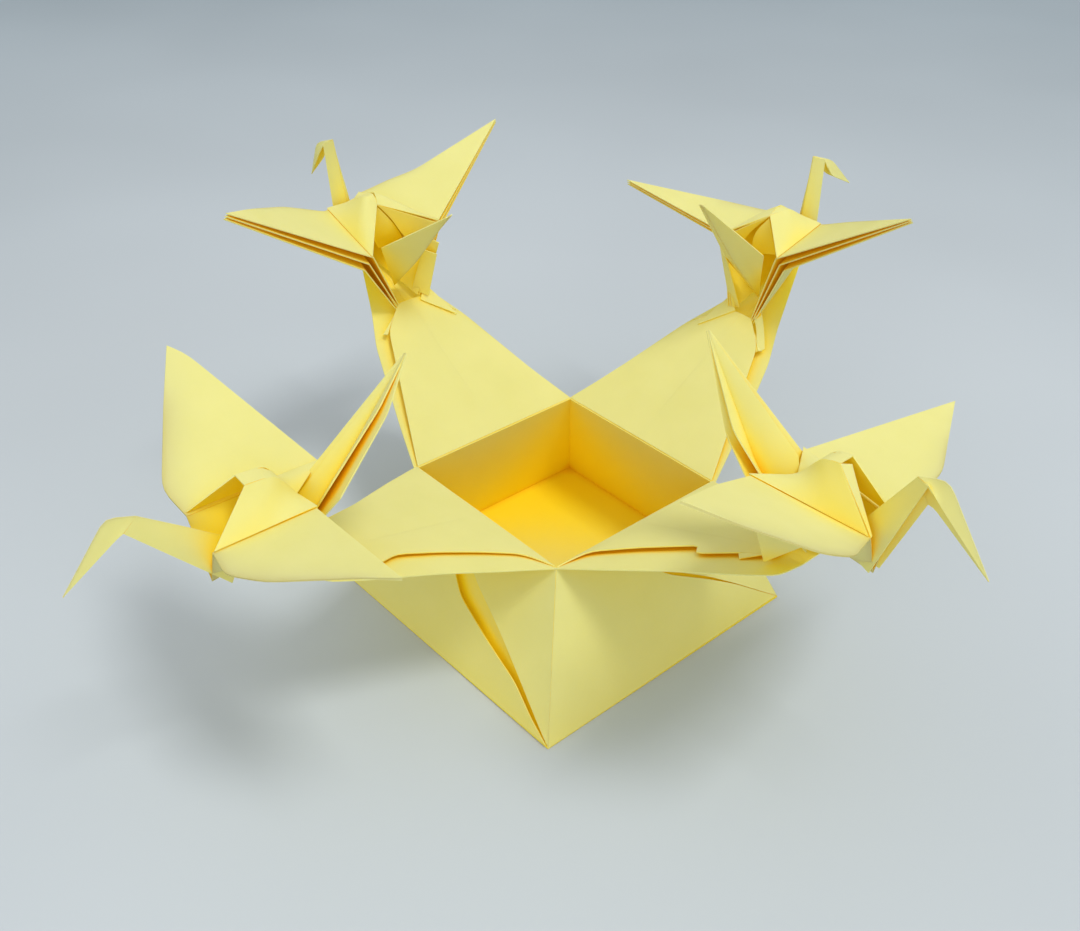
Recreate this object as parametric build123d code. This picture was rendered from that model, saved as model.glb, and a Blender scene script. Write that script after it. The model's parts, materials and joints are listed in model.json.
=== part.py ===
from build123d import *
from dataclasses import dataclass
from math import atan, cos, degrees, radians, sin, tan
import os

# A square box folded from one uncut sheet of thin pale paper. The walls lean inwards
# up to a square rim, and a long kite-shaped flap turns outwards from each side of it.
# Each flap ends in a crane: a hump with a wing to each side, a neck with a bent head
# pointing away from the box, and a tail that stands up towards it.
#
# The frame: the foot lies on z = 0 with its centre at the origin, and the walls run
# along X and Y. Sizes are in millimetres, angles in degrees.

# The box
base_side = 63.6
rim_side = 41.0
box_height = 28.3
wall = 0.8              # several plies pressed together
tuck_angle = 40.0       # the free edge of the ply tucked round each corner, from the foot
tuck_lift = 1.5         # how far that edge gapes at its top
tuck_below_rim = 1.6    # and where it ends

# The paper
kite_angle = 22.5       # a square's corner folded twice
ply = 0.3               # a pair of sheets pressed together
overlap = 0.12          # how far a ply runs on past a crease into the next ply
ply_gap = 1.2           # how far loose plies gape at a wing's open edge

# The flaps, measured from the middle of the rim's side: reach runs outwards along the
# flap, spread sideways, and height square to the flap
under_margin = 1.7      # the under ply shows this far beyond the top ply at the rim
under_drop = 1.8        # and its edges hang this far below
top_reach = 29.5        # where the top ply's straight sides stop
shoulder_half = 8.2     # half its width there
flap_end = 34.6         # where the top ply closes under the crane
flap_end_spread = 2.7
flap_end_height = 0.9
ear_spread = 1.2        # the small ears at the top ply's corners stand out this far
ear_length = 4.0        # and run this far along its end

# The cranes
crane_square = 60.0     # the square of the sheet that makes one crane
neck_foot = 53.6        # the point of the under ply, where the neck starts
wing_root_front = (56.6, 4.2, 8.2)      # the wing root's ends: reach, spread and height
wing_root_back = (40.0, 6.8, 14.9)
ridge_half = 1.4        # half the width of the hump's flattened ridge in front
ridge_half_top = 1.0    # and at its top
wing_plies = 3
neck_length = 20.5
neck_width = 2.5        # from the neck's crease to its open edges at the bend
neck_root_width = 7.8   # and at the foot
head_half = 0.9         # half the gap between the cheeks
tail_foot = 43.5
stem_reach = 38.9       # here the under ply has narrowed to the crane's own stem
stem_half = 2.1
inner_turn = 14.0       # the tail's inner plies stand this far off its sides
inner_share = 0.7       # and reach this share of the way out from its spine
edge_inset = 0.2        # the tail's edges pass this far inside the wing roots

# Worked out from the sizes above
rim_half = rim_side / 2
base_half = base_side / 2
wing_length = crane_square / 2 / cos(radians(kite_angle))
narrowing = tan(radians(kite_angle))
lean = degrees(atan((base_half - rim_half) / box_height))


@dataclass
class Wing:
    """One wing. Its outline is given flat: ahead of the root's back end, and out from it."""
    rise: float             # its slope above level
    outline: tuple          # its front edge, from the root's end to the tip
    sweep: float            # how far ahead its tip lies
    front_shift: tuple = (0, 0, 0)      # the root's ends: reach, spread and height
    back_shift: tuple = (0, 0, 0)
    blunt: float = 0.0      # how much of its tip is folded away


@dataclass
class Crane:
    """How one crane was set by hand. Left and right are as seen looking out from the box."""
    flap_rise: float        # the flap's slope above level
    slip: float             # the whole crane along its flap
    roll: float             # and how it is twisted about the flap
    turn: float
    left: Wing
    right: Wing
    neck_rise: float
    crown: tuple            # from the neck's bend to the crown of the head: length and slope
    head: tuple             # and on to the beak
    tail: tuple             # length, slope and lean to the left
    ridge: tuple            # reach and height of three points along the hump's ridge
    top_inset: tuple = (0, 0)           # the top ply's edges, left and right: drawn in
    top_lift: tuple = (0.6, 0.6)        # and lifted off the under ply


cranes = [
    Crane(13, 1.0, -2, -3,
          Wing(17, ((17.7, 9.0), (14.1, 16.4), (3.5, 28.3)), 0.3, (0, 0.7, 0.7), (0.7, -0.6, -0.5)),
          Wing(27, ((25.2, 5.8), (17.7, 19.9)), 11.8, (-0.3, 0.7, 1.3), (-7.2, -0.6, -0.6), 2.2),
          40, (4.5, 6), (13.3, -66), (40, 119, 0),
          ((51.7, 17.6), (46.8, 18.6), (41.5, 13.4)), (3, 0), (2.4, 1.6)),
    Crane(21, -2.0, 0, 0,
          Wing(1, ((15.2, 15.8), (10.7, 21.7)), 2.3, (-0.1, -1.2, -0.7), (-1.7, -0.6, 0.9)),
          Wing(26, ((23.1, 14.5), (20.8, 20.9), (11.9, 28.0)), 3.8, (-0.1, -1.2, -0.7), (-1.7, -0.6, 1.5)),
          52, (4.9, 0), (15.2, -74), (39.6, 112, 0),
          ((49.9, 18.2), (47.0, 18.9), (40.1, 14.5)), (0, 3), (1.6, 2.4)),
    Crane(31, 0.9, 1, -3,
          Wing(-1, ((12.4, 0.1), (8.6, 9.3)), -1.6, (-1.2, 0.8, 1.3), (1.3, -0.1, -0.3)),
          Wing(33, ((14.5, 0.5), (10.5, 11.6), (6.6, 20.7)), 1.5, (-1.2, 0.8, 1.3), (1.3, -0.1, -0.3)),
          60, (6.7, -49), (10.3, -72), (35.8, 106, -2),
          ((55.4, 11.2), (52.9, 15.9), (48.9, 17.0))),
    Crane(31, 1.6, -3, 9,
          Wing(33, ((17.8, 1.6), (14.1, 14.4), (8.4, 24.7)), 3.3, (0, -0.2, -0.3), (-1.3, 2.0, 0.3)),
          Wing(13, ((17.9, 3.0), (12.4, 11.4)), 4.3, (0, -0.2, -0.3), (-1.3, 2.0, 0.3)),
          59, (6.0, -50), (9.1, -94), (33.6, 112, 2),
          ((56.4, 10.1), (52.1, 17.1), (49.7, 16.1))),
]


def leaf(*corners, folds=(), thickness=ply):
    """One flat ply. The edges numbered in folds run on a little past their crease."""
    points = [Vector(*corner) if isinstance(corner, tuple) else corner for corner in corners]
    normal = (points[1] - points[0]).cross(points[2] - points[0]).normalized()
    grown = list(points)
    for edge in folds:
        start, end = edge, (edge + 1) % len(points)
        outwards = (points[end] - points[start]).cross(normal).normalized() * overlap
        grown[start] = grown[start] + outwards
        grown[end] = grown[end] + outwards
    outline = Face(Wire.make_polygon(grown, close=True))
    return extrude(outline, amount=thickness / 2, dir=normal, both=True)


def turned(angle, aside=0.0):
    """The direction in a crane's middle plane at this angle above its flap."""
    level = cos(radians(aside))
    return Vector(cos(radians(angle)) * level, sin(radians(aside)), sin(radians(angle)) * level)


def fanned(point, start, end, angle):
    """A point turned about the crease from start to end."""
    return start + (point - start).rotate(Axis(start, end - start), angle)


def joined(pieces):
    """Fuse pieces two at a time, which stays sound where many thin plies meet."""
    while len(pieces) > 1:
        pairs = [pieces[place:place + 2] for place in range(0, len(pieces), 2)]
        pieces = [pair[0].fuse(pair[1]) if len(pair) == 2 else pair[0] for pair in pairs]
    return pieces[0]


def wing(front, back, sign, shape):
    """A spread wing: closed along its front edge, with its plies gaping behind."""
    along = (front - back).normalized()
    side = Vector(0, sign, 0)
    side = (side - along * side.dot(along)).normalized()
    up = along.cross(side) * sign
    out = side * cos(radians(shape.rise)) + up * sin(radians(shape.rise))
    edge = [back + along * ahead + out * beyond for ahead, beyond in shape.outline]
    tip = back + out * (wing_length - shape.blunt) + along * shape.sweep
    gape = degrees(atan(ply_gap / wing_length)) * -sign
    plies = []
    for step in range(wing_plies):
        root = [fanned(point, edge[0], tip, gape * step) for point in (back, front)]
        lowered = [fanned(point, edge[0], tip, gape * step) for point in edge]
        plies.append(leaf(*root, *lowered, tip, folds=(0,)))
    return plies, root


def hump_side(front, back, ridge_front, ridge_top, ridge_back):
    """The side of the hump, from a wing's root up to the ridge."""
    return [
        leaf(front, ridge_front, ridge_top, folds=(1, 2)),
        leaf(front, ridge_top, back, folds=(0, 1, 2)),
        leaf(back, ridge_top, ridge_back, folds=(0, 1)),
    ]


def lower_side(front, back, end, foot):
    """A ply below a wing, from its root down to the flap."""
    return [leaf(front, back, foot, folds=(0, 1, 2)), leaf(back, end, foot, folds=(0, 1, 2))]


def neck_and_head(foot, pose):
    """Two troughs of folded paper: the neck open outwards, and the head bent down from it."""
    along = turned(pose.neck_rise)
    square = turned(pose.neck_rise + 90)
    root = foot + square * neck_root_width
    open_end = foot + along * neck_length
    bend = open_end + square * neck_width
    crown_length, crown_slope = pose.crown
    head_length, head_slope = pose.head
    top = bend + turned(crown_slope) * crown_length
    beak = top + turned(head_slope) * head_length
    plies = []
    for sign in (1, -1):
        cheek = open_end + Vector(0, sign * head_half, 0)
        plies.append(leaf(root, bend, cheek, folds=(0, 1, 2)))
        plies.append(leaf(root, cheek, foot, folds=(0, 2)))
        plies.append(leaf(bend, top, cheek, folds=(0, 1, 2)))
        plies.append(leaf(top, beak, cheek, folds=(0, 2)))
    return plies


def tail(foot, backs, pose):
    """A long trough of folded paper, open towards the hump, with a narrower ply inside."""
    tail_length, tail_slope, tail_lean = pose.tail
    tip = foot + turned(tail_slope, tail_lean) * tail_length
    spine = (tip - foot).normalized()
    plies = []
    for sign, back in backs.items():
        edge = back - Vector(0, sign * edge_inset, 0)
        plies.append(leaf(foot, tip, edge, folds=(0, 2)))
        nearest = foot + spine * (edge - foot).dot(spine)
        inner = nearest + (edge - nearest) * inner_share
        inner = fanned(inner, foot, tip, -sign * inner_turn)
        plies.append(leaf(foot, tip, inner, folds=(0,)))
    return plies


def crane(pose):
    """One crane in its flap's frame, as plies that run into each other at the creases."""
    slip = Vector(pose.slip, 0, 0)
    foot = Vector(neck_foot, 0, 0) + slip
    backs = {}
    ridges = {}
    plies = []
    for sign, shape in ((1, pose.left), (-1, pose.right)):
        sides = (1, sign, 1)
        front = [place * side for place, side in zip(wing_root_front, sides)]
        back = [place * side for place, side in zip(wing_root_back, sides)]
        front_shift = [place * side for place, side in zip(shape.front_shift, sides)]
        back_shift = [place * side for place, side in zip(shape.back_shift, sides)]
        front = Vector(*front) + Vector(*front_shift) + slip
        back = Vector(*back) + Vector(*back_shift) + slip
        end = Vector(flap_end, sign * flap_end_spread, flap_end_height)
        (front_reach, front_height), (top_place, top_height), (back_reach, back_height) = pose.ridge
        ridge_front = Vector(front_reach, sign * ridge_half, front_height)
        ridge_top = Vector(top_place, sign * ridge_half_top, top_height)
        ridge_back = Vector(back_reach, 0, back_height)
        spread_plies, lowest_root = wing(front, back, sign, shape)
        plies += spread_plies
        plies += hump_side(front, back, ridge_front, ridge_top, ridge_back)
        plies += lower_side(front, back, end, foot)
        plies += lower_side(lowest_root[1], lowest_root[0], end, foot)
        backs[sign] = back
        ridges[sign] = (ridge_front, ridge_top)
    plies.append(leaf(ridges[1][0], ridges[-1][0], ridges[-1][1], folds=(1, 2)))
    plies.append(leaf(ridges[1][0], ridges[-1][1], ridges[1][1], folds=(0, 1, 2)))
    plies.append(leaf(ridges[1][1], ridges[-1][1], ridge_back, folds=(0, 1, 2)))
    plies += neck_and_head(foot, pose)
    plies += tail(Vector(tail_foot, 0, flap_end_height) + slip, backs, pose)
    return plies


def flap(pose, point):
    """The two plies that turn out from the rim: the upper one stops short under the crane."""
    plies = []
    middle = Vector(0, 0, 0)
    under_middle = Vector(0, 0, -overlap)
    centre_end = Vector(flap_end, 0, flap_end_height)
    under_half = rim_half + under_margin
    for sign, inset, lift in zip((1, -1), pose.top_inset, pose.top_lift):
        rim_corner = Vector(0, sign * (rim_half - inset), 0)
        shoulder = Vector(top_reach, sign * shoulder_half, lift)
        end = Vector(flap_end, sign * flap_end_spread, flap_end_height)
        plies.append(leaf(middle, rim_corner, shoulder, folds=(0, 2)))
        plies.append(leaf(middle, shoulder, end, folds=(0, 1, 2)))
        plies.append(leaf(middle, end, centre_end, folds=(0, 2)))
        under_corner = Vector(0, sign * under_half, -under_drop)
        under_side = Vector(flap_end, sign * (under_half - flap_end * narrowing), -under_drop)
        stem = Vector(stem_reach, sign * stem_half, -under_drop / 2)
        plies.append(leaf(under_middle, under_corner, under_side, folds=(0, 2)))
        plies.append(leaf(under_middle, under_side, stem, folds=(0, 2)))
        plies.append(leaf(under_middle, stem, point, folds=(0, 2)))
        along = (end - shoulder).normalized()
        ear_tip = shoulder + Vector(0, sign * ear_spread, -ply_gap / 2)
        plies.append(leaf(ear_tip, shoulder - along, shoulder + along * ear_length, folds=(1,)))
    return plies


def box():
    """The box itself: a hollow block with leaning walls and a ply tucked round each corner."""
    outside = extrude(Rectangle(base_side, base_side), amount=box_height, taper=lean)
    shell = offset(outside, amount=-wall, openings=outside.faces().sort_by(Axis.Z)[-1])
    foot_corner = Vector(base_half, -base_half, 0)
    rim_corner = Vector(rim_half, -rim_half, box_height)
    run = base_half - rim_half
    up_wall = Vector(0, run, box_height).normalized()
    outwards = Vector(0, -box_height, run).normalized()
    tuck_height = Vector(0, run, box_height).length - tuck_below_rim
    free_corner = foot_corner + up_wall * tuck_height + outwards * tuck_lift
    free_corner -= Vector(tuck_height / tan(radians(tuck_angle)), 0, 0)
    edge = (rim_corner - foot_corner).normalized()
    tuck = leaf(foot_corner + edge * ply, rim_corner - edge * ply, free_corner, folds=(0,))
    return [shell] + [Rot(0, 0, 90 * side) * tuck for side in range(4)]


pieces = box()
for side, pose in enumerate(cranes):
    pivot = Pos(flap_end, 0, flap_end_height)
    twist = pivot * Rot(0, 0, pose.turn) * Rot(pose.roll, 0, 0) * pivot.inverse()
    point = (twist * Pos(neck_foot + pose.slip, 0, 0)).position
    plies = [twist * piece for piece in crane(pose)] + flap(pose, point)
    seat = Rot(0, 0, 90 * side) * Pos(0, -rim_half, box_height) * Rot(0, 0, -90) * Rot(0, -pose.flap_rise, 0)
    pieces.append(seat * joined(plies))

folded_sheet = joined(pieces)
folded_sheet.label = "folded_sheet"
print("solids", len(folded_sheet.solids()), "faces", len(folded_sheet.faces()), "volume", round(folded_sheet.volume, 1))
os.makedirs("parts", exist_ok=True)
export_step(folded_sheet, "parts/folded_sheet.step")
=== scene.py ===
# %% [markdown]
# # A box of folded paper with four cranes
# One uncut sheet of pale lemon paper makes the whole object: a small box with leaning
# walls, four long flaps that turn out from its rim, and a crane at the end of each flap.
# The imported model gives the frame. Its plain folded_sheet is replaced here by the same
# sheet with bowed panels, soft creases and gaping plies.

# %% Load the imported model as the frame
import json

import bpy
from math import cos, pi, radians, sin
from mathutils import Matrix, Vector

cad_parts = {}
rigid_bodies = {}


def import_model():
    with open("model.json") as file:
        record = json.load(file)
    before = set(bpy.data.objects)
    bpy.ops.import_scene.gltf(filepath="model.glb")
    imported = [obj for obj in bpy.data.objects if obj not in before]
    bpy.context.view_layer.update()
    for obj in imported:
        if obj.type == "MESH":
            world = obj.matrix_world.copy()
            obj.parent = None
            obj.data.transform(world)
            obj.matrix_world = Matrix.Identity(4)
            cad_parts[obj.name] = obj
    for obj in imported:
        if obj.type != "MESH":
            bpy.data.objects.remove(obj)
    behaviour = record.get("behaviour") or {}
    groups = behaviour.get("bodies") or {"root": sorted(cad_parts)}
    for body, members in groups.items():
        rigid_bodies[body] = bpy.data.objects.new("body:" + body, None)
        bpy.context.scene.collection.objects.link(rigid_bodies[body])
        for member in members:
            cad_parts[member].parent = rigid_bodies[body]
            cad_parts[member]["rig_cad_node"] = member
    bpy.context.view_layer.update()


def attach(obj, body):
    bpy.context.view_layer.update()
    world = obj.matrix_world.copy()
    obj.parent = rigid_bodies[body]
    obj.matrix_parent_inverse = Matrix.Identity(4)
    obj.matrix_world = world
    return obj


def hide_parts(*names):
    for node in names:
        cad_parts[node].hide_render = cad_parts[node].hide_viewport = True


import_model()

# %% [markdown]
# ## Sizes
# The box stands on a square foot and narrows to a smaller square rim. Blender counts in
# metres, but a paper's sizes are easier to read in millimetres, so they are written that
# way and turned into metres by one factor.

# %% Name the sizes of the box
mm = 0.001
base_half = 63.6 * mm / 2
rim_half = 41.0 * mm / 2
box_height = 28.3 * mm
print("the walls lean in by", round((base_half - rim_half) / mm, 1), "mm over", box_height / mm)

# %% [markdown]
# ## One ply of paper
# Paper bends in one direction at a time, so each ply is a surface of straight lines
# ruled between two edges, like the slats of a fan. Extruding each panel by hand would
# give flat facets, and subdividing those would round the creases. So a ply starts as a
# plain grid, and its points are laid on the ruled lines.


# %% A point in a flap's own directions
def at(reach, spread, height):
    """A place in millimetres: out along a flap, to its left, and above it."""
    return Vector((reach, spread, height)) * mm


print("30 mm out along a flap is", at(30, 0, 0))


# %% An edge through a few points
def traced(points, steps, softness):
    """The edge through a few points, in equal steps, with its corners a little softened."""
    lengths = [(end - start).length for start, end in zip(points, points[1:])]
    total = sum(lengths)
    trail = []
    for step in range(steps + 1):
        remaining = total * step / steps
        stretch = 0
        while stretch < len(lengths) - 1 and remaining > lengths[stretch]:
            remaining -= lengths[stretch]
            stretch += 1
        share = min(remaining / lengths[stretch], 1)
        trail.append(points[stretch].lerp(points[stretch + 1], share))
    for _ in range(softness):
        middle = [a * 0.25 + b * 0.5 + c * 0.25 for a, b, c in zip(trail, trail[1:], trail[2:])]
        trail = [trail[0]] + middle + [trail[-1]]
    return trail


corner = traced([at(0, 0, 0), at(4, 0, 0), at(4, 4, 0)], 4, 1)
print("a softened corner in 4 steps:", [tuple(round(v, 4) for v in point) for point in corner])


# %% A ply ruled between two edges
line_spacing = 1.4 * mm
fewest_along = 6
fewest_across = 4
merge_distance = 0.02 * mm


def ruled(first, second, belly=0.0, softness=2):
    """One ply from the first edge across to the second, bowed by belly at its middle."""
    longest = max(sum((b - a).length for a, b in zip(edge, edge[1:])) for edge in (first, second))
    widest = max((first[0] - second[0]).length, (first[-1] - second[-1]).length)
    steps = max(int(longest / line_spacing), fewest_along)
    across = max(int(widest / line_spacing), fewest_across)
    near = traced(first, steps, softness)
    far = traced(second, steps, softness)
    normal = (near[-1] - near[0]).cross(far[steps // 2] - near[steps // 2]).normalized()
    span = max((b - a).length for a, b in zip(near, far))
    bpy.ops.object.select_all(action="DESELECT")
    bpy.ops.mesh.primitive_grid_add(x_subdivisions=steps, y_subdivisions=across, size=1)
    sheet = bpy.context.active_object
    for vertex in sheet.data.vertices:
        along = vertex.index % (steps + 1)
        share = vertex.index // (steps + 1) / across
        narrowing = (far[along] - near[along]).length / span
        bow = belly * sin(pi * share) * sin(pi * along / steps) * narrowing
        vertex.co = near[along].lerp(far[along], share) + normal * bow
    bpy.ops.object.mode_set(mode="EDIT")
    bpy.ops.mesh.select_all(action="SELECT")
    bpy.ops.mesh.remove_doubles(threshold=merge_distance)
    bpy.ops.object.mode_set(mode="OBJECT")
    return sheet


print("ruled lines lie", line_spacing / mm, "mm apart")

# %% Plies joined into one piece and given their thickness
ply = 0.22 * mm
soft_angle = radians(32)


def folded(name, sheets, seat, thickness=ply):
    """Join plies, carry them to their seat on the box, and thicken them into paper."""
    bpy.ops.object.select_all(action="DESELECT")
    for sheet in sheets:
        sheet.select_set(True)
    bpy.context.view_layer.objects.active = sheets[0]
    bpy.ops.object.join()
    piece = bpy.context.active_object
    piece.name = name
    piece.data.transform(seat)
    solid = piece.modifiers.new("paper thickness", "SOLIDIFY")
    solid.thickness = thickness
    solid.offset = 0
    bpy.ops.object.modifier_apply(modifier=solid.name)
    bpy.ops.object.shade_smooth_by_angle(angle=soft_angle)
    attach(piece, "root")
    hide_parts("folded_sheet")
    print(name, len(piece.data.polygons), "faces")
    return piece


print("a ply is", ply / mm, "mm thick")

# %% [markdown]
# ## The cranes' places
# Each flap turns out over the rim and rises at its own slope, and its crane is twisted
# a little on it. Placing four cranes by hand would let them drift apart, so the same
# chain of turns seats the flap and the crane on all four sides.

# %% The seat of a flap and of its crane
flap_tip = (34.6, 2.7, 0.9)
flap_end = at(*flap_tip)


def flap_seat(side, rise):
    """From a flap's own directions to the box's: side counts quarter turns from the left front."""
    return (Matrix.Rotation(radians(90 * side), 4, "Z")
            @ Matrix.Translation((0, -rim_half, box_height))
            @ Matrix.Rotation(radians(-90), 4, "Z")
            @ Matrix.Rotation(radians(-rise), 4, "Y"))


def twist(roll, turn):
    """How a crane is twisted about the end of its flap."""
    pivot = Matrix.Translation((flap_end.x, 0, flap_end.z))
    turned = Matrix.Rotation(radians(turn), 4, "Z") @ Matrix.Rotation(radians(roll), 4, "X")
    return pivot @ turned @ pivot.inverted()


print("a flap that rises 31 degrees ends at", [round(v, 4) for v in flap_seat(0, 31) @ flap_end])

# %% [markdown]
# ## Wings
# A wing is several layers of paper closed along its front edge. They gape at the back
# and run on down the body. Thickening one panel would lose the gaps that make it look
# folded, so each ply is ruled by itself: the outline is drawn flat, x forwards along the
# root and y out along the wing, and each lower ply turns further about the front edge.

# %% A wing from its root and its outline
wing_plies = 3
wing_belly = 0.3 * mm
lower_ply_flatter = 0.3
usual_gape = 1.2
usual_blunt = 0.15


def wing(shape, sign):
    """The plies of one wing, and the back end of its root for each ply, highest first."""
    front, back = shape["front"], shape["back"]
    along = (front - back).normalized()
    level = Vector((0, sign, 0))
    level = (level - along * level.dot(along)).normalized()
    up = along.cross(level) * sign
    rise = radians(shape["rise"])
    out = level * cos(rise) + up * sin(rise)

    def drawn(x, y):
        """A spot of the outline, laid in the wing's own plane."""
        return back + along * x * mm + out * y * mm

    leading = [front] + [drawn(*spot) for spot in shape["outline"]]
    trailing = [back] + [drawn(*spot) for spot in shape.get("trailing", ())]
    tip = drawn(*shape["tip"])
    wing_length = shape["tip"][1]
    hinge_start = leading[1]
    hinge = (tip - hinge_start).normalized()
    sheets = []
    root_backs = []
    for step in range(wing_plies):
        opening = step * shape.get("gape", usual_gape) / wing_length
        swing = Matrix.Rotation(-sign * opening, 4, hinge)
        lowered = [hinge_start + swing @ (point - hinge_start) for point in trailing]
        ply_tip = tip - along.cross(out) * sign * shape.get("blunt", usual_blunt) * mm * step
        belly = sign * wing_belly * (1 - lower_ply_flatter * step)
        sheets.append(ruled(lowered + [ply_tip], leading + [ply_tip], belly))
        root_backs.append(lowered[0])
    return sheets, root_backs


print("a wing has", wing_plies, "plies")

# %% [markdown]
# ## Body, neck and tail
# Between the wings the paper swells into a hump with a flattened ridge. Below each wing
# its plies go down to the flap. Neck and tail are long pointed strips folded along
# their middle: the neck's crease lies towards the hump and its edges open outwards. A
# strip could be cut from a cone, but its two sides are not alike, so each is ruled.

# %% One side of the body
hump_swell = 0.4 * mm
body_swell = 0.3 * mm
body_swell_step = 0.2 * mm
hump_aside, hump_above = 0.4, 0.5
waist_share = 0.45
lower_ply_back, lower_ply_down = 0.3, 0.2


def body_half(pose, shape, sign, root_backs):
    """One side of the hump and the plies below its wing, and that side's edge of the ridge."""
    ridge = [point + at(0, sign * pose["ridge_half"], 0) for point in pose["ridge"][:-1]]
    ridge.append(pose["ridge"][-1])
    proud = at(0, sign * hump_aside, hump_above)
    sheets = [ruled([shape["front"] + proud, shape["back"] + proud], ridge, sign * hump_swell)]
    end = Vector((flap_end.x, sign * flap_end.y, flap_end.z))
    waist = pose["foot"].lerp(end, waist_share) + at(0, 0, pose["waist"])
    for step, root_back in enumerate(root_backs):
        lower_end = end + at(-lower_ply_back, sign * pose["flare"], -lower_ply_down) * step
        swell = -sign * (body_swell + body_swell_step * step)
        sheets.append(ruled([shape["front"], root_back], [pose["foot"], waist, lower_end], swell))
    return sheets, ridge


print("a body's plies swell by", body_swell / mm, "mm and more")

# %% Neck and head
neck_swell = 0.4 * mm


def neck(crease, open_edges):
    """A trough from the hump to the bend: one ply on each side of the crease."""
    return [ruled(crease, edge, sign * neck_swell, softness=1) for sign, edge in zip((1, -1), open_edges)]


def head(bend, crown, beak, cheeks):
    """The bent head: closed over the crown down to the beak, open underneath."""
    return [ruled([bend, crown, beak], cheek + [beak], softness=1) for cheek in cheeks]


print("a neck's sides swell by", neck_swell / mm, "mm")

# %% Tail
tail_swell = 0.5 * mm
inner_tail_swell = 0.4 * mm
usual_hollow = 0.6
usual_turn = 14
deepest_share = 0.4
inner_width = 0.7


def tail(pose):
    """A long trough open to the hump, with a narrower ply inside each half."""
    foot, tip, blunt = pose["tail_foot"], pose["tail_tip"], pose["tail_blunt"]
    spine = (tip - foot).normalized()
    away_from_hump = spine.cross(Vector((0, -1, 0)))
    hollow = away_from_hump * pose.get("tail_hollow", usual_hollow) * mm
    deepest = foot.lerp(tip, deepest_share) - hollow
    valley = [foot, deepest, tip]
    turn = radians(pose.get("tail_turn", usual_turn))
    sheets = []
    for sign, edge in zip((1, -1), pose["tail_edges"]):
        sheets.append(ruled(valley, edge + [tip + at(0, sign * blunt, 0)], -sign * tail_swell))
        swing = Matrix.Rotation(-sign * turn, 4, spine)
        inner = []
        for point in edge:
            on_spine = foot + spine * (point - foot).dot(spine)
            inner.append(foot + swing @ (on_spine.lerp(point, inner_width) - foot))
        inner.append(tip + at(0, sign * blunt / 2, 0))
        sheets.append(ruled(valley, inner, -sign * inner_tail_swell))
    return sheets


print("a tail's inner plies turn in by", usual_turn, "degrees")

# %% [markdown]
# ## A whole crane
# The same function folds each crane. The real ones were set by hand and no two stand
# alike, so copies of one crane would look wrong. What differs is given as a few named
# points, in millimetres from the middle of the rim's edge, and a wing's outline in the
# wing's own two directions.


# %% Fold a crane from its named points
def crane(name, side, pose):
    """All plies of one crane, carried onto its flap."""
    sheets = []
    ridges = []
    for sign, key in ((1, "left"), (-1, "right")):
        wing_sheets, root_backs = wing(pose[key], sign)
        body_sheets, ridge = body_half(pose, pose[key], sign, root_backs)
        sheets += wing_sheets + body_sheets
        ridges.append(ridge)
    sheets.append(ruled(*ridges))
    sheets += neck(pose["neck_crease"], pose["neck_edges"])
    sheets += head(pose["neck_crease"][-1], pose["crown"], pose["beak"], pose["cheeks"])
    sheets += tail(pose)
    sheets += [ruled(*edges) for edges in pose.get("extra_plies", [])]
    seat = flap_seat(side, pose["flap_rise"]) @ twist(pose["roll"], pose["turn"])
    return folded(name, sheets, seat)


print("a crane has", 2 * wing_plies, "plies in its wings and as many below them")

# %% The crane on the left front side
left_front = {
    "flap_rise": 13, "roll": -2, "turn": -3, "waist": 4.5, "flare": 0.9,
    "foot": at(54.6, 0, 0),
    "left": {"front": at(57.6, 4.9, 8.9), "back": at(41.7, 6.2, 14.4), "rise": 17,
             "outline": [(17.7, 9.0), (14.1, 16.4), (3.5, 28.3)], "tip": (0.3, 32.4)},
    "right": {"front": at(57.3, -4.9, 9.5), "back": at(33.8, -6.2, 14.3), "rise": 27,
              "outline": [(25.2, 5.8), (17.7, 19.9)], "tip": (11.8, 30.3),
              "trailing": [(9.7, 27.8)]},
    "ridge": [at(51.7, 0, 17.6), at(46.8, 0, 18.6), at(41.5, 0, 13.4)], "ridge_half": 1.6,
    "neck_crease": [at(49.4, 0, 6.1), at(59.3, 0, 10.8), at(67.6, 0, 14.5)],
    "neck_edges": [[at(52.0, 1.6, 0), at(69.6, 0.8, 12.4)],
                   [at(52.0, -1.6, 0), at(69.6, -0.8, 12.4)]],
    "crown": at(72.1, 0, 15.0), "beak": at(77.6, 0, 2.9),
    "cheeks": [[at(69.6, 0.8, 12.4), at(70.0, 0.8, 12.3)],
               [at(69.6, -0.8, 12.4), at(70.0, -0.8, 12.3)]],
    "tail_foot": at(42.0, 0, 0.9), "tail_tip": at(25.1, 0, 36.1), "tail_blunt": 0.3,
    "tail_edges": [[at(38.7, 8, 16.5), at(30.3, 5, 28.4)], [at(38.8, -5, 10.9)]],
}
crane("crane_left_front", 0, left_front)

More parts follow.
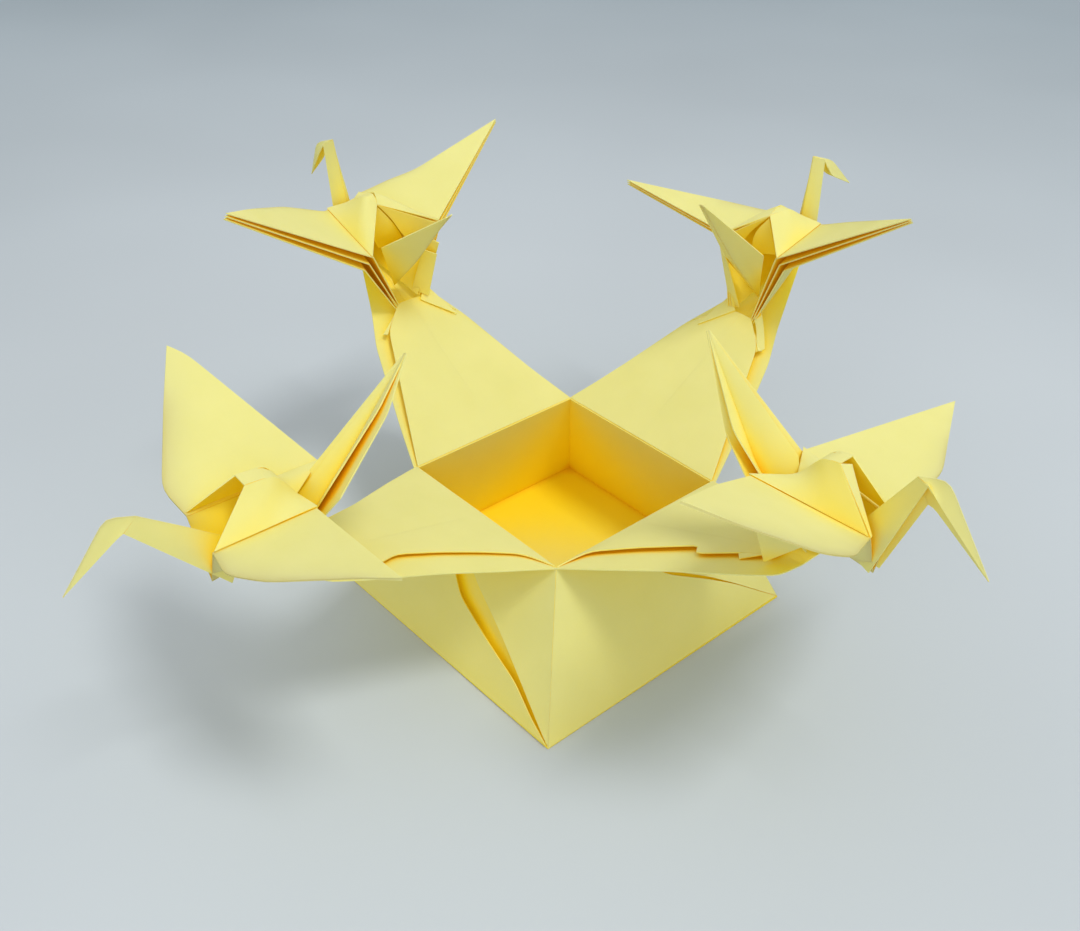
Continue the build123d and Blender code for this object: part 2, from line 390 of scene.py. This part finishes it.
# %% The crane on the right front side
right_front = {
    "flap_rise": 21, "roll": 0, "turn": 0, "waist": 4.5, "flare": 0.9,
    "foot": at(51.6, 0, 0),
    "left": {"front": at(54.5, 3, 7.5), "back": at(36.3, 6.2, 15.8), "rise": 1.2,
             "outline": [(15.2, 15.8), (10.7, 21.7)], "tip": (2.3, 32.8), "gape": 2.2},
    "right": {"front": at(54.5, -3, 7.5), "back": at(36.3, -6.2, 16.4), "rise": 26.5,
              "outline": [(23.1, 14.5), (20.8, 20.9), (11.9, 28.0)], "tip": (3.8, 31.9),
              "trailing": [(1.2, 15.6)]},
    "ridge": [at(49.9, 0, 18.2), at(47.0, 0, 18.9), at(40.1, 0, 14.5)], "ridge_half": 1.6,
    "neck_crease": [at(46.0, 0, 4.6), at(53.0, 0, 10.0), at(61.9, 0, 17.0)],
    "neck_edges": [[at(51.6, 1.6, 0), at(62.1, 1.2, 12.3)],
                   [at(51.6, -1.0, 0.4), at(64.2, -1.2, 16.3)]],
    "crown": at(66.8, 0, 17.0), "beak": at(71.0, 0, 2.4),
    "cheeks": [[at(62.1, 1.2, 12.3), at(62.7, 1.2, 12.3)],
               [at(64.2, -1.2, 16.3), at(64.4, -1.2, 15.8)]],
    "tail_foot": at(40.5, -1.5, 2.0), "tail_tip": at(26.7, 0, 37.6), "tail_blunt": 0.3,
    "tail_turn": 30, "tail_hollow": 2.4,
    "tail_edges": [[at(36.5, 6.0, 15.6)], [at(34.5, -5.2, 14.5), at(29.3, -3, 21.6)]],
    "extra_plies": [([at(49.9, -1.6, 18.2), at(54.5, -3, 7.5)],
                     [at(49.9, 1.0, 17.1), at(50.7, 0.4, 14.5), at(54.3, -2.4, 7.6)])],
}
crane("crane_right_front", 1, right_front)

# %% The crane on the right back side
right_back = {
    "flap_rise": 31, "roll": 1, "turn": -3, "waist": 0, "flare": 0.45,
    "foot": at(54.5, 0, 0),
    "left": {"front": at(56.3, 5, 9.5), "back": at(42.2, 6.7, 14.6), "rise": -0.8,
             "outline": [(12.4, 0.1), (8.6, 9.3)], "tip": (-1.6, 32.4),
             "gape": 2.0, "blunt": 0.5},
    "right": {"front": at(56.3, -5, 9.5), "back": at(42.2, -6.7, 14.6), "rise": 33.4,
              "outline": [(14.5, 0.5), (10.5, 11.6), (6.6, 20.7)], "tip": (1.5, 32.6),
              "gape": 3.6, "blunt": 0.35},
    "ridge": [at(55.4, 0, 11.2), at(52.9, 0, 15.9), at(48.9, 0, 17.0)], "ridge_half": 1.2,
    "neck_crease": [at(50.5, 0, 2.8), at(56.4, 0, 9.1), at(63.2, 0, 20.2)],
    "neck_edges": [[at(54.5, 2.2, 0), at(58.2, 2.2, 7.5), at(65.0, 1.0, 18.0)],
                   [at(54.5, -2.2, 0), at(58.2, -2.2, 7.5), at(65.0, -1.0, 18.0)]],
    "crown": at(67.6, 0, 15.1), "beak": at(70.7, 0, 5.3),
    "cheeks": [[at(65.0, 1.0, 18.0), at(65.6, 1.0, 12.9)],
               [at(65.0, -1.0, 18.0), at(65.6, -1.0, 12.9)]],
    "tail_foot": at(40.0, 0, 0.9), "tail_tip": at(34.3, -1, 35.2), "tail_blunt": 0.8,
    "tail_edges": [[at(38.8, 4.5, 12.0)], [at(41.3, -4.5, 15.2)]],
    "extra_plies": [([at(48.9, 0, 17.0), at(42.2, 6.7, 14.6)],
                     [at(48.9, 0, 17.0), at(46.2, 2.8, 14.6), at(43.5, 5.0, 11.5), at(40.5, 6.5, 8.5)]),
                    ([at(48.6, 0, 16.6), at(46.0, -2.0, 9.3)],
                     [at(48.6, 0, 16.6), at(45.7, 2.4, 14.0), at(44.0, 3.2, 9.0)]),
                    ([at(39.4, 6.0, 14.3), at(35.3, 4.0, 0.4)],
                     [at(38.2, 3.6, 12.5), at(35.8, 1.6, 1.0)]),
                    ([at(34.6, 1.6, 1.2), at(27.8, 6.5, 0.9)],
                     [at(36.4, 5.2, 1.4), at(27.8, 6.5, 0.9)]),
                    ([at(37.2, -3.6, 2.6), at(33.8, -7.2, 1.2), at(30.6, -9.8, 0.2)],
                     [at(35.8, -2.6, 1.8), at(32.6, -6.3, 0.9), at(29.0, -8.9, 0.5)])],
}
crane("crane_right_back", 2, right_back)

# %% The crane on the left back side
left_back = {
    "flap_rise": 31, "roll": -3, "turn": 9, "waist": 0, "flare": 0.45,
    "foot": at(55.2, 0, 0),
    "left": {"front": at(58.2, 4, 7.9), "back": at(40.3, 8.8, 15.2), "rise": 32.9,
             "outline": [(17.8, 1.6), (16.1, 7.9), (14.1, 14.4), (8.4, 24.7)], "tip": (3.3, 32.3),
             "gape": 3.2, "blunt": 0.6},
    "right": {"front": at(58.2, -4, 7.9), "back": at(40.3, -8.8, 15.2), "rise": 12.9,
              "outline": [(17.9, 3.0), (16.5, 5.8), (12.4, 11.4)], "tip": (4.3, 32.5),
              "gape": 2.6, "blunt": 0.4},
    "ridge": [at(56.4, 0, 10.1), at(52.1, 0, 17.1), at(49.7, 0, 16.1)], "ridge_half": 1.2,
    "neck_crease": [at(50.5, 0, 2.8), at(56.9, 0, 8.6), at(64.8, 0, 20.2)],
    "neck_edges": [[at(55.2, 2.2, 0), at(58.5, 2.2, 7.3), at(66.0, 1.0, 18.2)],
                   [at(55.2, -2.2, 0), at(58.5, -2.2, 7.3), at(66.0, -1.0, 18.2)]],
    "crown": at(68.6, 0, 15.6), "beak": at(67.9, 0, 6.5),
    "cheeks": [[at(66.0, 1.0, 18.2), at(66.7, 1.0, 12.2)],
               [at(66.0, -1.0, 18.2), at(66.7, -1.0, 12.2)]],
    "tail_foot": at(39.2, 0, 0.9), "tail_tip": at(32.5, 1, 32.0), "tail_blunt": 0.8,
    "tail_edges": [[at(41.8, 5.2, 14.2)], [at(38.6, -4.5, 11.0)]],
    "extra_plies": [([at(49.7, 0, 16.1), at(40.3, -8.8, 15.2)],
                     [at(49.7, 0, 16.1), at(46.7, -2.0, 13.9), at(43.7, -3.2, 11.0), at(40.0, -6.5, 7.5)]),
                    ([at(49.4, 0, 15.7), at(47.4, 2.0, 10.0), at(46.0, 0, 6.0)],
                     [at(49.4, 0, 15.7), at(46.2, -2.2, 13.0), at(43.9, -4.0, 9.6), at(44.6, -5.2, 7.0)]),
                    ([at(38.6, -4.5, 11.0), at(36.4, -2.6, 1.0)],
                     [at(35.9, -6.0, 11.4), at(32.8, -4.0, 1.9)]),
                    ([at(39.6, -6.6, 12.5), at(37.6, -4.6, 1.0)],
                     [at(37.4, -7.6, 12.5), at(34.6, -5.2, 1.6)]),
                    ([at(33.2, -2.2, 1.2), at(26.2, -6.9, 0.9)],
                     [at(36.0, -5.6, 1.4), at(26.2, -6.9, 0.9)])],
}
crane("crane_left_back", 3, left_back)

# %% [markdown]
# ## The flaps
# Two plies turn out from each side of the rim. The upper one is kite shaped and stops
# short under the crane, with small ears at its shoulders. The one below is a little
# wider and carries on to the crane's foot. One thick panel would hide the line between
# them, so both are ruled, from the flap's middle crease out to their free edges.

# %% A flap from the outlines of its two plies
upper_swell = 0.3 * mm
ear_start = 1 * mm
ear_length = 4 * mm
ear_out, ear_down = 1.2, 0.6
lower_start_height, upper_start_height, upper_end_height = -0.5, 0.2, 1.0


def flap(name, side, pose, lower_outline, upper_outlines):
    """Both plies of one flap, each ruled outwards from the middle to the left and right."""
    sheets = []
    for sign, upper_outline in zip((1, -1), upper_outlines):
        lower_edge = [at(reach, sign * spread, height) for reach, spread, height in lower_outline]
        upper_edge = [at(reach, sign * spread, height) for reach, spread, height in upper_outline]
        lower_middle = [at(0, 0, lower_start_height), Vector((lower_edge[-1].x, 0, lower_edge[-1].z))]
        upper_middle = [at(0, 0, upper_start_height), at(flap_tip[0], 0, upper_end_height)]
        sheets.append(ruled(lower_middle, lower_edge, softness=1))
        sheets.append(ruled(upper_middle, upper_edge, sign * upper_swell, softness=1))
        shoulder, end = upper_edge[-2:]
        along = (end - shoulder).normalized()
        ear_tip = shoulder + at(0, sign * ear_out, -ear_down)
        ear_end = shoulder + along * ear_length
        sheets.append(ruled([shoulder - along * ear_start, ear_end], [ear_tip, ear_end]))
    return folded(name, sheets, flap_seat(side, pose["flap_rise"]))


print("an ear runs", ear_length / mm, "mm along the flap's end")

# %% Fold the four flaps
# Each outline gives reach, spread and height in millimetres, from the rim outwards.
back_border = [(0, 20.9, -0.4), (10, 17.6, -1.3), (28.2, 11.6, -1.6), (36.0, 7.8, -1.5), (55, 0.5, -0.6)]
front_border = [(0, 20.6, 0), (10, 16.9, 0), (20, 12.8, -0.1), (32.5, 9.0, -0.1), (38.8, 6.7, 0),
                (39.8, 2.2, 0)]
plain_edge = [(0, 20.2, 0.1), (19.0, 12.5, 0.6), (29.5, 8.2, 0.6), flap_tip]
left_front_edge = [(0, 20.2, 0.2), (1.3, 17.5, 0.4), (3.3, 14.4, 0.5), (9.8, 11.0, 0.6), (16.4, 8.0, 0.6),
                   (24.0, 5.6, 0.8), (29.5, 7.4, 1.0), flap_tip]
right_front_edge = [(0, 20.2, 0.2), (0.8, 17.0, 0.5), (2.0, 14.0, 0.8), (10.1, 9.3, 0.9), (20.2, 4.4, 0.9),
                    (20.8, 7.2, 0.8), (29.0, 3.6, 0.8), flap_tip]
flap("flap_left_front", 0, left_front, front_border, (left_front_edge, plain_edge))
flap("flap_right_front", 1, right_front, front_border, (plain_edge, right_front_edge))
flap("flap_right_back", 2, right_back, back_border, (plain_edge, plain_edge))
flap("flap_left_back", 3, left_back, back_border, (plain_edge, plain_edge))

# %% [markdown]
# ## The box
# The four walls lean inwards from the foot to the rim. They are several plies thick,
# and on each wall the ply tucked round the corner ends in a slanting free edge that
# gapes a little. Solid walls with a drawn line would look pressed flat, so the inner
# walls and the outer plies are ruled apart, in the wall's own directions.


# %% A place on a wall
def on_wall(side, across, height, out=0.0):
    """A place in millimetres on one wall: to its right seen from outside, up, and proud of it."""
    run = (base_half - rim_half) / box_height
    back = base_half / mm - run * height + out
    return Matrix.Rotation(radians(90 * side), 4, "Z") @ (Vector((across, -back, height)) * mm)


foot_across = base_half / mm
rim_across = rim_half / mm
rim_height = box_height / mm
print("the first wall's rim lies at", [round(v, 4) for v in on_wall(0, 0, rim_height)])

# %% Fold the inner walls and the floor
wall_ply = 0.3 * mm
inner_foot = foot_across - 0.2
inner_rim = rim_across - 0.1
above_table = 0.15
foot_set_back = -0.9
rim_set_back = -0.18
sheets = []
for side in range(4):
    foot_line = [on_wall(side, across, above_table, foot_set_back) for across in (inner_foot, -inner_foot)]
    rim_line = [on_wall(side, across, rim_height, rim_set_back) for across in (inner_rim, -inner_rim)]
    sheets.append(ruled(foot_line, rim_line, softness=0))
left_foot = [Vector((-base_half, y, above_table * mm)) for y in (-base_half, base_half)]
right_foot = [Vector((base_half, y, above_table * mm)) for y in (-base_half, base_half)]
sheets.append(ruled(left_foot, right_foot, softness=0))
folded("box_walls", sheets, Matrix.Identity(4), wall_ply)

# %% Lay the outer plies: a wide one from the left corner and a tucked one from the right
# Each edge gives how far across, up and proud of the wall it lies, in millimetres.
wide_edge = [(31.2, 0.6, 0.3), (26.5, 3.3, 0.8), (20.8, 7.1, 1.2), (11.3, 10.4, 1.4), (1.9, 14.0, 1.4),
             (-4.0, 19.5, 1.0), (-9.0, 28.2, 0.5)]
tuck_edge = [(31.4, 0.6, 0.1), (27.6, 3.2, 0.3), (20.3, 8.3, 0.6), (13.8, 12.5, 0.7), (4.3, 17.7, 0.7),
             (-3.0, 23.0, 0.5), (-8.0, 28.2, 0.2)]
lowest = 0.2
gapes = (1.0, 0.15, 0.4, 0.3)
sheets = []
for side, gape in enumerate(gapes):
    left_corner = [on_wall(side, -foot_across, lowest), on_wall(side, -rim_across, rim_height)]
    right_corner = [on_wall(side, foot_across, lowest), on_wall(side, rim_across, rim_height)]
    tuck_line = [on_wall(side, *spot) for spot in tuck_edge]
    wide_line = [tuck.lerp(on_wall(side, *spot), gape) for tuck, spot in zip(tuck_line, wide_edge)]
    sheets.append(ruled(left_corner, wide_line, softness=1))
    sheets.append(ruled(right_corner, tuck_line, softness=1))
folded("box_outer_plies", sheets, Matrix.Identity(4))

# %% [markdown]
# ## The paper
# Thin coloured paper scatters light inside itself and passes some through. Where plies
# Where plies face each other the light bounces between them and turns from lemon to deep gold. Real
# bounces would need many samples, so Ambient Occlusion, which measures how enclosed a spot is, paints that
# bounce light into the colour as gold. It also paints shade into the narrow creases as a darker gold, and
# a glow for the light let through. Faint fibres and handling marks break up the evenness.

# %% Helpers for the nodes
occlusion_rays = 8


def mixed(tree, factor, first, second):
    """A colour between two, each of them a fixed colour or another node's output."""
    mix = tree.nodes.new("ShaderNodeMix")
    mix.data_type = "RGBA"
    for socket, colour in (("A", first), ("B", second)):
        if isinstance(colour, tuple):
            mix.inputs[socket].default_value = (*colour, 1)
        else:
            tree.links.new(colour, mix.inputs[socket])
    tree.links.new(factor, mix.inputs["Factor"])
    return mix.outputs["Result"]


def noise(tree, place, scale, detail):
    """A soft random pattern over the object's own coordinates."""
    pattern = tree.nodes.new("ShaderNodeTexNoise")
    pattern.inputs["Scale"].default_value = scale
    pattern.inputs["Detail"].default_value = detail
    tree.links.new(place, pattern.inputs["Vector"])
    return pattern.outputs["Fac"]


def enclosure(tree, reach):
    """An Ambient Occlusion node: 1 on open paper and 0 deep in a fold, looking as far as reach."""
    occlusion = tree.nodes.new("ShaderNodeAmbientOcclusion")
    occlusion.samples = occlusion_rays
    occlusion.inputs["Distance"].default_value = reach
    return occlusion


print("each spot's enclosure is measured with", occlusion_rays, "rays")

# %% The look of the paper, as a group
lemon, pale_lemon = (0.68, 0.64, 0.215), (0.745, 0.70, 0.265)
# The gold of painted bounce light where paper is enclosed, and a deeper gold of painted shade in the
# narrow creases.
painted_bounce_gold, painted_crease_shade = (0.96, 0.73, 0.015), (0.88, 0.50, 0.006)
# The colour of a painted glow in enclosed paper, and none on open paper.
painted_glow_colour, dark = (1.0, 0.64, 0.0), (0.0, 0.0, 0.0)
unevenness = 26
fold_reach, crevice_reach = 30 * mm, 3 * mm
crevice_closed, crevice_open = 0.1, 0.6


def paper_look():
    """Lemon tones with painted bounce light that turns them gold where the paper is enclosed, painted
    shade in the creases, a painted glow, and the height of its fibres.
    """
    group = bpy.data.node_groups.new("paper_look", "ShaderNodeTree")
    face = group.interface
    for name, value in (("Enclosed", 0.2), ("Open", 0.8)):
        face.new_socket(name=name, in_out="INPUT", socket_type="NodeSocketFloat").default_value = value
    face.new_socket(name="Color", in_out="OUTPUT", socket_type="NodeSocketColor")
    face.new_socket(name="Glow", in_out="OUTPUT", socket_type="NodeSocketColor")
    face.new_socket(name="Height", in_out="OUTPUT", socket_type="NodeSocketFloat")
    given = group.nodes.new("NodeGroupInput")
    result = group.nodes.new("NodeGroupOutput")
    place = group.nodes.new("ShaderNodeTexCoord").outputs["Object"]
    openness = group.nodes.new("ShaderNodeMapRange")
    group.links.new(enclosure(group, fold_reach).outputs["AO"], openness.inputs["Value"])
    group.links.new(given.outputs["Enclosed"], openness.inputs["From Min"])
    group.links.new(given.outputs["Open"], openness.inputs["From Max"])
    open_share = openness.outputs["Result"]
    # Painted shade: a short Ambient Occlusion darkens the colour to deep gold in the narrow creases
    # between plies of one piece.
    crevice = enclosure(group, crevice_reach)
    crevice.only_local = True
    shallow = group.nodes.new("ShaderNodeMapRange")
    shallow.inputs["From Min"].default_value = crevice_closed
    shallow.inputs["From Max"].default_value = crevice_open
    group.links.new(crevice.outputs["AO"], shallow.inputs["Value"])
    tone = mixed(group, noise(group, place, scale=90, detail=4), lemon, pale_lemon)
    # Painted bounce light: enclosed paper is coloured gold in place of real light bounced between plies.
    painted_bounce_colour = mixed(group, open_share, painted_bounce_gold, tone)
    colour = mixed(group, shallow.outputs["Result"], painted_crease_shade, painted_bounce_colour)
    group.links.new(colour, result.inputs["Color"])
    # Painted glow: enclosed paper gives off warm light through Emission, standing for light let through
    # the paper; open paper gives none.
    group.links.new(mixed(group, open_share, painted_glow_colour, dark), result.inputs["Glow"])
    height = group.nodes.new("ShaderNodeMath")
    height.operation = "MULTIPLY_ADD"
    group.links.new(noise(group, place, scale=38, detail=1), height.inputs[0])
    height.inputs[1].default_value = unevenness
    group.links.new(noise(group, place, scale=1500, detail=3), height.inputs[2])
    group.links.new(height.outputs["Value"], result.inputs["Height"])
    return group


look = paper_look()
print("group", look.name, "with", len(look.nodes), "nodes")


# %% The paper's materials
def paper_material(name, enclosed, open_from, glow):
    """A thin matt sheet that scatters light inside itself, with a painted glow where it is enclosed,
    standing for light let through it.
    """
    material = bpy.data.materials.new(name)
    material.use_nodes = True
    nodes = material.node_tree.nodes
    links = material.node_tree.links
    shader = nodes["Principled BSDF"]
    paper = nodes.new("ShaderNodeGroup")
    paper.node_tree = look
    paper.inputs["Enclosed"].default_value = enclosed
    paper.inputs["Open"].default_value = open_from
    links.new(paper.outputs["Color"], shader.inputs["Base Color"])
    links.new(paper.outputs["Glow"], shader.inputs["Emission Color"])
    shader.inputs["Emission Strength"].default_value = glow
    shader.inputs["Roughness"].default_value = 0.8
    shader.inputs["Specular IOR Level"].default_value = 0.06
    shader.inputs["Subsurface Weight"].default_value = 0.3
    shader.inputs["Subsurface Radius"].default_value = (1.0, 0.85, 0.5)
    shader.inputs["Subsurface Scale"].default_value = 0.6 * mm
    relief = nodes.new("ShaderNodeBump")
    relief.inputs["Strength"].default_value = 0.12
    relief.inputs["Distance"].default_value = 0.1 * mm
    links.new(paper.outputs["Height"], relief.inputs["Height"])
    links.new(relief.outputs["Normal"], shader.inputs["Normal"])
    return material


# The inside of the box takes a copy with more painted bounce gold and a stronger painted glow.
outer_paper = paper_material("lemon_paper", enclosed=0.12, open_from=0.84, glow=0.04)
inner_paper = paper_material("lemon_paper_inside_the_box", enclosed=0.3, open_from=1.0, glow=0.06)
print("materials", outer_paper.name, "and", inner_paper.name)

# %% Lay the paper on the pieces
pieces = [item for item in bpy.data.objects if item.type == "MESH" and "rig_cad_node" not in item]
for piece in pieces:
    piece.data.materials.append(inner_paper if piece.name == "box_walls" else outer_paper)
print("paper laid on", len(pieces), "pieces")

# %% [markdown]
# ## The stage
# The box stands on a pale cloth. It is laid as a flat disc, so that the box can be seen from all sides,
# and painted shade darkens its colour away from the box, as daylight from a window would fall off. Soft
# patches keep it from looking like plastic.


# %% The cloth's material
def cloth_material(near_tone, painted_far_shade):
    """A matt cloth with painted shade: its colour goes from one tone to the darker other away from the
    box, in soft patches.
    """
    material = bpy.data.materials.new("pale_cloth")
    material.use_nodes = True
    tree = material.node_tree
    place = tree.nodes.new("ShaderNodeTexCoord").outputs["Object"]
    distance = tree.nodes.new("ShaderNodeVectorMath")
    distance.operation = "LENGTH"
    tree.links.new(place, distance.inputs[0])
    # Painted shade: the cloth's colour darkens from 160 mm to 550 mm away from the middle.
    painted_shade_share = tree.nodes.new("ShaderNodeMapRange")
    painted_shade_share.inputs["From Min"].default_value = 160 * mm
    painted_shade_share.inputs["From Max"].default_value = 550 * mm
    tree.links.new(distance.outputs["Value"], painted_shade_share.inputs["Value"])
    patches = tree.nodes.new("ShaderNodeMapRange")
    patches.inputs["To Min"].default_value = 0.88
    patches.inputs["To Max"].default_value = 1.12
    tree.links.new(noise(tree, place, scale=5, detail=2), patches.inputs["Value"])
    varied = tree.nodes.new("ShaderNodeVectorMath")
    varied.operation = "SCALE"
    tree.links.new(mixed(tree, painted_shade_share.outputs["Result"], near_tone, painted_far_shade), varied.inputs[0])
    tree.links.new(patches.outputs["Result"], varied.inputs["Scale"])
    shader = tree.nodes["Principled BSDF"]
    tree.links.new(varied.outputs["Vector"], shader.inputs["Base Color"])
    shader.inputs["Roughness"].default_value = 0.9
    shader.inputs["Specular IOR Level"].default_value = 0.1
    return material


cloth = cloth_material(near_tone=(0.50, 0.54, 0.56), painted_far_shade=(0.37, 0.425, 0.455))
print("material", cloth.name)

# %% The cloth under the box
cloth_drop = 0.1 * mm
bpy.ops.object.select_all(action="DESELECT")
bpy.ops.mesh.primitive_circle_add(vertices=96, radius=2.5, fill_type="NGON", location=(0, 0, -cloth_drop))
floor = bpy.context.active_object
floor.name = "cloth"
floor.data.materials.append(cloth)
print("cloth", [round(v, 2) for v in floor.dimensions])

# %% [markdown]
# ## Light
# One small lamp high on the right gives the soft shadows, and a weak broad one low in
# front opens them. The world adds even daylight, a little brighter from above. More
# lamps would flatten the folds, which show only by their shading.

# %% The lamps
middle = Vector((0, 0, 30 * mm))


def lamp(name, place, size, power):
    """A square lamp that looks at the middle of the object."""
    light = bpy.data.lights.new(name, "AREA")
    light.size = size
    light.energy = power
    holder = bpy.data.objects.new(name, light)
    bpy.context.scene.collection.objects.link(holder)
    holder.location = place
    holder.rotation_euler = (middle - Vector(place)).to_track_quat("-Z", "Y").to_euler()


lamp("key", place=(0.42, 0.0, 0.93), size=0.24, power=4.2)
lamp("fill", place=(0.6, -0.7, 0.36), size=0.9, power=2.5)

# %% The world
horizon, zenith = (0.60, 0.615, 0.635), (0.80, 0.82, 0.845)
world = bpy.data.worlds.new("room")
bpy.context.scene.world = world
world.use_nodes = True
sky = world.node_tree
direction = sky.nodes.new("ShaderNodeTexCoord")
split = sky.nodes.new("ShaderNodeSeparateXYZ")
sky.links.new(direction.outputs["Generated"], split.inputs["Vector"])
background = sky.nodes["Background"]
sky.links.new(mixed(sky, split.outputs["Z"], horizon, zenith), background.inputs["Color"])
background.inputs["Strength"].default_value = 1.0
print("world", world.name, "at strength", background.inputs["Strength"].default_value)

# %% [markdown]
# ## The camera
# The camera stands where the photograph was taken from: in front of one corner of the
# box and above it. Its place and lens were fitted to the corners of the foot and rim,
# and its three axes are worked out here from a compass angle, a tilt and a slight roll.

# %% The camera
yaw, tilt, roll = radians(48), radians(34.4), radians(1.06)
camera_place = (0.1387, -0.1312, 0.1610)
away = Vector((sin(yaw) * cos(tilt), -cos(yaw) * cos(tilt), sin(tilt)))
across = Vector((cos(yaw), sin(yaw), 0))
upwards = away.cross(across)
right = across * cos(roll) + upwards * sin(roll)
top = upwards * cos(roll) - across * sin(roll)
lens = bpy.data.cameras.new("camera")
lens.sensor_fit = "HORIZONTAL"
lens.sensor_width = 36
lens.lens = 39.67
lens.clip_start = 0.01
camera = bpy.data.objects.new("camera", lens)
bpy.context.scene.collection.objects.link(camera)
camera.matrix_world = Matrix.Translation(camera_place) @ Matrix((right, top, away)).transposed().to_4x4()
bpy.context.scene.camera = camera
bpy.context.scene.view_settings.view_transform = "Standard"
print("camera at", [round(v, 3) for v in camera.location])
